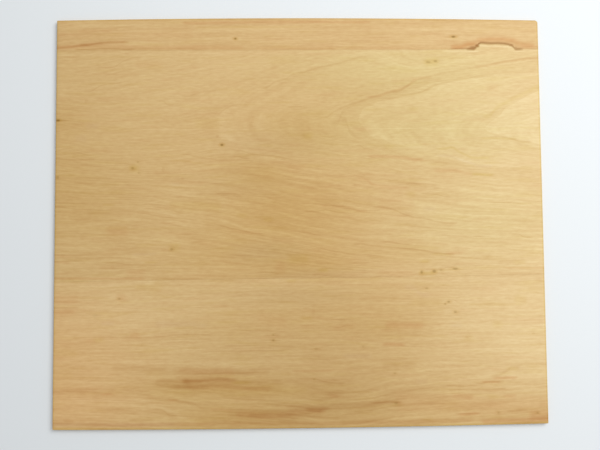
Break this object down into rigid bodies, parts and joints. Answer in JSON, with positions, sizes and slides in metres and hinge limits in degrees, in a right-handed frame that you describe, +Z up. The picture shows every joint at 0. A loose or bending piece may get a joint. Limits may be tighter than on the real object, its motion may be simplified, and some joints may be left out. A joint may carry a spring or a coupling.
{
  "type": "plywood sheet",
  "caption": "Small rectangular sheet of thin plywood with a pale hardwood face veneer, slightly convex long edges and a worn corner.",
  "frame": {"origin": "middle of the underside, where the back face lies on the floor", "axes": "+X along the grain of the face veneer, which is the sheet's length; +Y across the grain, towards the long edge that ends at the worn corner; +Z up, out of the face"},
  "size_m": [0.3, 0.2524, 0.003],
  "materials": {
    "face_veneer": "satin"
  },
  "bodies": {
    "root": {"plywood_sheet": "face_veneer"}
  },
  "joints": []
}
